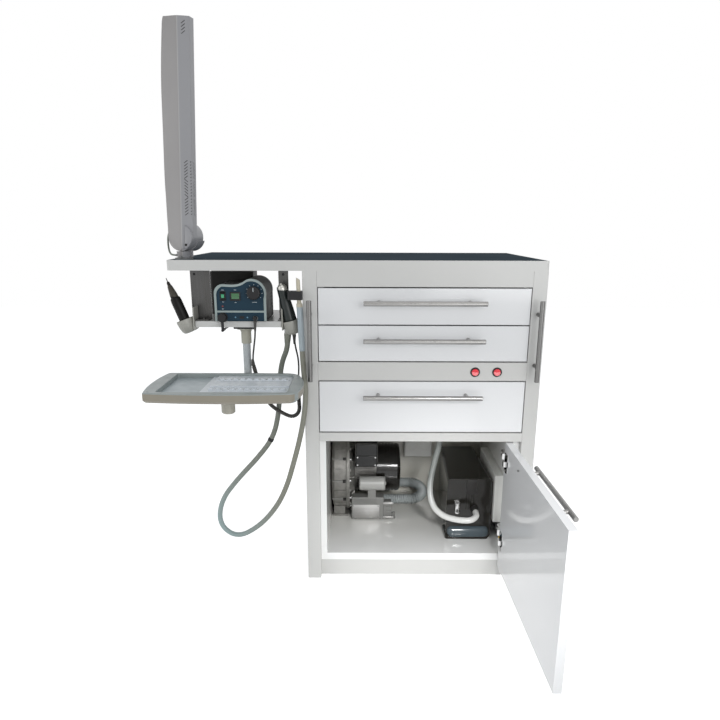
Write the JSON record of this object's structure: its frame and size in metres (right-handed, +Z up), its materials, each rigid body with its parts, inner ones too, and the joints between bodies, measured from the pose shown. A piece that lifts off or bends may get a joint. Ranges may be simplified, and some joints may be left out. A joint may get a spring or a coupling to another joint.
{
  "type": "podiatry unit",
  "caption": "Podiatry cabinet with drawers, open door over a suction blower, an overhanging worktop with a lamp, an instrument holder and a swivelling tray.",
  "frame": {"origin": "on the floor under the middle of the cabinet, which is the plinth's underside", "axes": "+Z up, +Y from the fronts to the back, +X to the right as seen by someone facing the drawers"},
  "size_m": [0.9596, 1.0221, 1.393],
  "materials": {
    "grey_laminate": "matt light grey laminate",
    "dark_inlay": "dark blue-grey laminate, fine grain",
    "black_plastic": "black moulded",
    "green_lens": "green translucent",
    "red_lens": "red translucent",
    "brushed_steel": "satin brushed",
    "runner_steel": "zinc plated",
    "pale_plastic": "pale grey moulded",
    "blue_panel": "blue satin",
    "dark_plastic": "dark grey moulded",
    "beige_plastic": "warm grey moulded",
    "black_rubber": "black, slightly glossy",
    "beige_metal": "warm grey powder coat",
    "tray_plastic": "blue-grey moulded",
    "insert_plastic": "pale grey thermoformed",
    "dark_metal": "black paint",
    "lamp_grey": "satin grey",
    "white_lens": "opal",
    "cast_aluminium": "dark as-cast",
    "motor_grey": "grey painted casting",
    "white_plastic": "white moulded",
    "gloss_tank": "black high gloss",
    "hose_grey": "grey satin",
    "white_hose": "white satin",
    "cable_grey": "dark grey",
    "ribbed_grey": "grey ribbed"
  },
  "bodies": {
    "cabinet_body": {"side_panels": "grey_laminate", "front_rails": "grey_laminate", "carcass_boards": "grey_laminate", "plinth": "grey_laminate", "back_panel": "grey_laminate", "control_strip": "grey_laminate", "worktop_board": "grey_laminate", "worktop_inlay": "dark_inlay", "switch_bodies": "black_plastic", "post_grips": "brushed_steel", "fixed_runners": "runner_steel", "hinge_arms": "runner_steel", "instrument_shelf": "grey_laminate", "hanger_plates": "brushed_steel", "unit_bezel": "pale_plastic", "unit_panel": "blue_panel", "unit_housing": "dark_plastic", "unit_fittings": "black_plastic", "unit_plugs": "black_plastic", "holder_cups": "beige_plastic", "handpiece_right": "black_rubber", "suction_wand": "pale_plastic", "wand_clip": "black_plastic", "column_socket": "beige_metal", "lamp_base": "dark_metal", "blower_casing": "cast_aluminium", "blower_motor": "motor_grey", "blower_fan_cover": "motor_grey", "pump_box": "dark_metal", "run_capacitor": "white_plastic", "separator_tank": "gloss_tank", "service_boxes": "white_plastic", "suction_hose": "hose_grey", "white_hose": "white_hose", "power_cable": "black_plastic", "motor_cable": "cable_grey", "motor_curl": "black_rubber", "handpiece_cable": "cable_grey", "ribbed_hose": "ribbed_grey"},
    "drawer_1_body": {"drawer_1": "grey_laminate", "drawer_1_handle": "brushed_steel"},
    "drawer_2_body": {"drawer_2": "grey_laminate", "drawer_2_handle": "brushed_steel"},
    "drawer_3_body": {"drawer_3": "grey_laminate", "drawer_3_handle": "brushed_steel"},
    "door_body": {"door_panel": "grey_laminate", "door_hinge_cups": "runner_steel", "door_handle": "brushed_steel"},
    "rocker_1_body": {"switch_rocker_1": "red_lens"},
    "rocker_2_body": {"switch_rocker_2": "red_lens"},
    "unit_knob_body": {"unit_knob": "black_plastic"},
    "unit_rocker_body": {"unit_rocker": "green_lens"},
    "lamp_yoke_body": {"lamp_yoke": "dark_plastic", "lamp_cable": "cable_grey"},
    "lamp_head_body": {"lamp_housing": "lamp_grey", "lamp_diffuser": "white_lens"},
    "tray_arm_body": {"tray_arm": "beige_metal"},
    "tray_body": {"tray_pan": "tray_plastic", "tray_insert": "insert_plastic"},
    "handpiece_left_body": {"handpiece_left": "black_rubber"}
  },
  "joints": [
    {"name": "drawer_1_slide", "type": "slide", "parent": "cabinet_body", "child": "drawer_1_body", "axis": [0, -1, 0], "range_m": [0, 0.3]},
    {"name": "drawer_2_slide", "type": "slide", "parent": "cabinet_body", "child": "drawer_2_body", "axis": [0, -1, 0], "range_m": [0, 0.3]},
    {"name": "drawer_3_slide", "type": "slide", "parent": "cabinet_body", "child": "drawer_3_body", "axis": [0, -1, 0], "range_m": [0, 0.3]},
    {"name": "door_swing", "type": "hinge", "parent": "cabinet_body", "child": "door_body", "pos_m": [0.2511, -0.2586, 0.22], "axis": [0, 0, 1], "range_deg": [-91, 15]},
    {"name": "switch_1_rock", "type": "hinge", "parent": "cabinet_body", "child": "rocker_1_body", "pos_m": [0.1335, -0.25, 0.5855], "axis": [1, 0, 0], "range_deg": [-7, 7]},
    {"name": "switch_2_rock", "type": "hinge", "parent": "cabinet_body", "child": "rocker_2_body", "pos_m": [0.189, -0.25, 0.5855], "axis": [1, 0, 0], "range_deg": [-7, 7]},
    {"name": "unit_knob_turn", "type": "hinge", "parent": "cabinet_body", "child": "unit_knob_body", "pos_m": [-0.4205, -0.238, 0.781], "axis": [0, 1, 0], "range_deg": [-150, 150]},
    {"name": "unit_switch_rock", "type": "hinge", "parent": "cabinet_body", "child": "unit_rocker_body", "pos_m": [-0.4985, -0.234, 0.773], "axis": [1, 0, 0], "range_deg": [-7, 7]},
    {"name": "lamp_swivel", "type": "hinge", "parent": "cabinet_body", "child": "lamp_yoke_body", "pos_m": [-0.598, -0.195, 0.866], "axis": [0, 0, 1], "range_deg": [-160, 160]},
    {"name": "lamp_tilt", "type": "hinge", "parent": "lamp_yoke_body", "child": "lamp_head_body", "pos_m": [-0.598, -0.195, 0.913], "axis": [0.225, 0.9744, 0], "range_deg": [-25, 85]},
    {"name": "tray_arm_swivel", "type": "hinge", "parent": "cabinet_body", "child": "tray_arm_body", "pos_m": [-0.451, -0.2, 0.66], "axis": [0, 0, 1], "range_deg": [-80, 0]},
    {"name": "tray_swivel", "type": "hinge", "parent": "tray_arm_body", "child": "tray_body", "pos_m": [-0.478, -0.342, 0.556], "axis": [0, 0, 1], "range_deg": [-30, 10]},
    {"name": "handpiece_left_lift", "type": "slide", "parent": "cabinet_body", "child": "handpiece_left_body", "axis": [-0.3584, 0, 0.9336], "range_m": [0, 0.09]}
  ]
}
